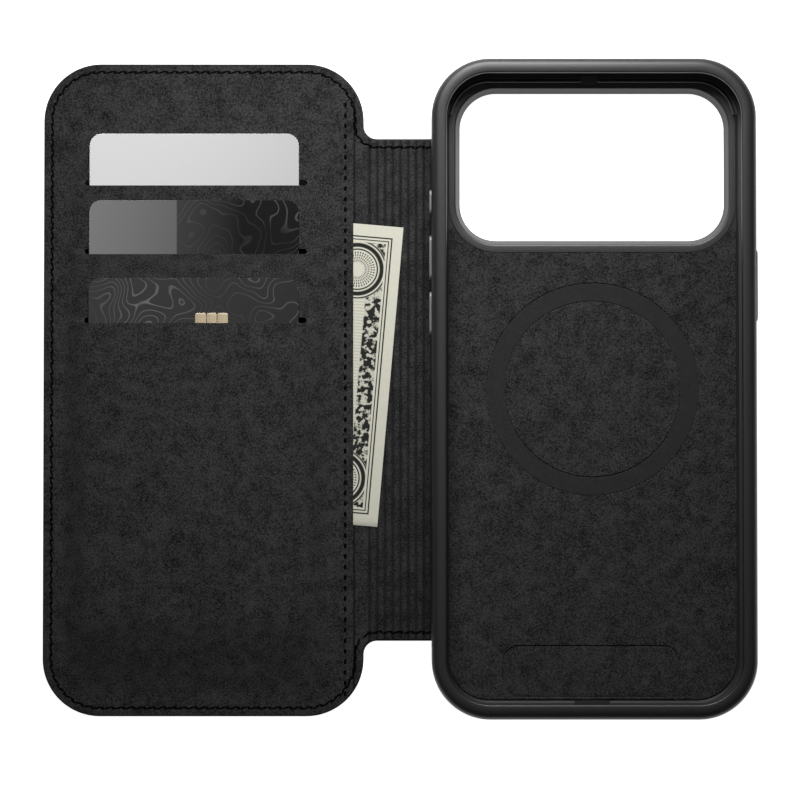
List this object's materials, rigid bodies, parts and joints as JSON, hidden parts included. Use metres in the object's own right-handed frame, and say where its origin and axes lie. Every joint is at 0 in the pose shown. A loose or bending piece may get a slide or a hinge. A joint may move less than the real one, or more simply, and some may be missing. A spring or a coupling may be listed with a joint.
{
  "type": "phone wallet case",
  "caption": "Folding leather phone case, open flat: padded phone tray with magnet ring and camera window, ribbed spine, and a cover with card and cash pockets.",
  "frame": {"origin": "centre of the phone side, on the outer face of its leather back", "axes": "+X from the spine towards the phone side's free edge, +Y towards the camera end, +Z out of the phone tray"},
  "size_m": [0.1832, 0.1688, 0.0126],
  "materials": {
    "leather": "black full-grain leather, fine pebble, matt",
    "spine": "black leather lined with microfibre, pressed in narrow ribs",
    "microfibre": "black brushed microfibre, matt",
    "ring_pad": "black pressed microfibre, smoother than the lining",
    "bumper": "black soft-touch moulded rubber",
    "shell_plastic": "black polycarbonate, fine texture",
    "button_metal": "black anodised aluminium, satin",
    "magnet_steel": "nickel-plated magnet",
    "tag_film": "amber film tag",
    "board": "fibre board stiffener",
    "pale_card": "pale grey card with a fine line pattern",
    "grey_card": "dark card fading from grey to black, fine contour lines",
    "dark_card": "charcoal card with contour lines and a contact chip",
    "note_paper": null,
    "thread": "black waxed polyester thread"
  },
  "bodies": {
    "phone_side": {"back_leather": "leather", "back_shell": "shell_plastic", "bumper": "bumper", "camera_frame": "bumper", "back_lining": "microfibre", "magnet_ring_pad": "ring_pad", "nfc_tag": "tag_film", "magnet_01": "magnet_steel", "magnet_02": "magnet_steel", "magnet_03": "magnet_steel", "magnet_04": "magnet_steel", "magnet_05": "magnet_steel", "magnet_06": "magnet_steel", "magnet_07": "magnet_steel", "magnet_08": "magnet_steel", "magnet_09": "magnet_steel", "magnet_10": "magnet_steel", "magnet_11": "magnet_steel", "magnet_12": "magnet_steel", "magnet_13": "magnet_steel", "magnet_14": "magnet_steel", "magnet_15": "magnet_steel", "magnet_16": "magnet_steel", "magnet_17": "magnet_steel", "magnet_18": "magnet_steel"},
    "action_button": {"action_button": "button_metal"},
    "volume_up_button": {"volume_up_button": "button_metal"},
    "volume_down_button": {"volume_down_button": "button_metal"},
    "side_button": {"side_button": "button_metal"},
    "spine": {"spine_panel": "spine"},
    "cover": {"cover_leather": "leather", "cover_board": "board", "cash_pocket_lining": "microfibre", "card_panel": "microfibre", "card_pocket_01": "microfibre", "card_pocket_02": "microfibre", "card_pocket_03": "microfibre", "folded_note": "note_paper"},
    "card_01": {"card_01": "pale_card"},
    "card_02": {"card_02": "grey_card"},
    "card_03": {"card_03": "dark_card"}
  },
  "joints": [
    {"name": "spine_fold", "type": "hinge", "parent": "phone_side", "child": "spine", "pos_m": [-0.0434, 0, 0], "axis": [0, 1, 0], "range_deg": [-90, 90]},
    {"name": "cover_fold", "type": "hinge", "parent": "spine", "child": "cover", "pos_m": [-0.05915, 0, 0], "axis": [0, 1, 0], "range_deg": [-90, 90], "deforming": ["folded_note"]},
    {"name": "action_button_press", "type": "slide", "parent": "phone_side", "child": "action_button", "axis": [1, 0, 0], "range_m": [0, 0.0004], "stiffness_N_per_m": 1500, "springref_m": -0.0003},
    {"name": "volume_up_button_press", "type": "slide", "parent": "phone_side", "child": "volume_up_button", "axis": [1, 0, 0], "range_m": [0, 0.0004], "stiffness_N_per_m": 1500, "springref_m": -0.0003},
    {"name": "volume_down_button_press", "type": "slide", "parent": "phone_side", "child": "volume_down_button", "axis": [1, 0, 0], "range_m": [0, 0.0004], "stiffness_N_per_m": 1500, "springref_m": -0.0003},
    {"name": "side_button_press", "type": "slide", "parent": "phone_side", "child": "side_button", "axis": [-1, 0, 0], "range_m": [0, 0.0004], "stiffness_N_per_m": 1500, "springref_m": -0.0003},
    {"name": "card_01_slide", "type": "slide", "parent": "cover", "child": "card_01", "axis": [0, 1, 0], "range_m": [0, 0.05]},
    {"name": "card_02_slide", "type": "slide", "parent": "cover", "child": "card_02", "axis": [0, 1, 0], "range_m": [0, 0.05]},
    {"name": "card_03_slide", "type": "slide", "parent": "cover", "child": "card_03", "axis": [0, 1, 0], "range_m": [0, 0.05]}
  ]
}
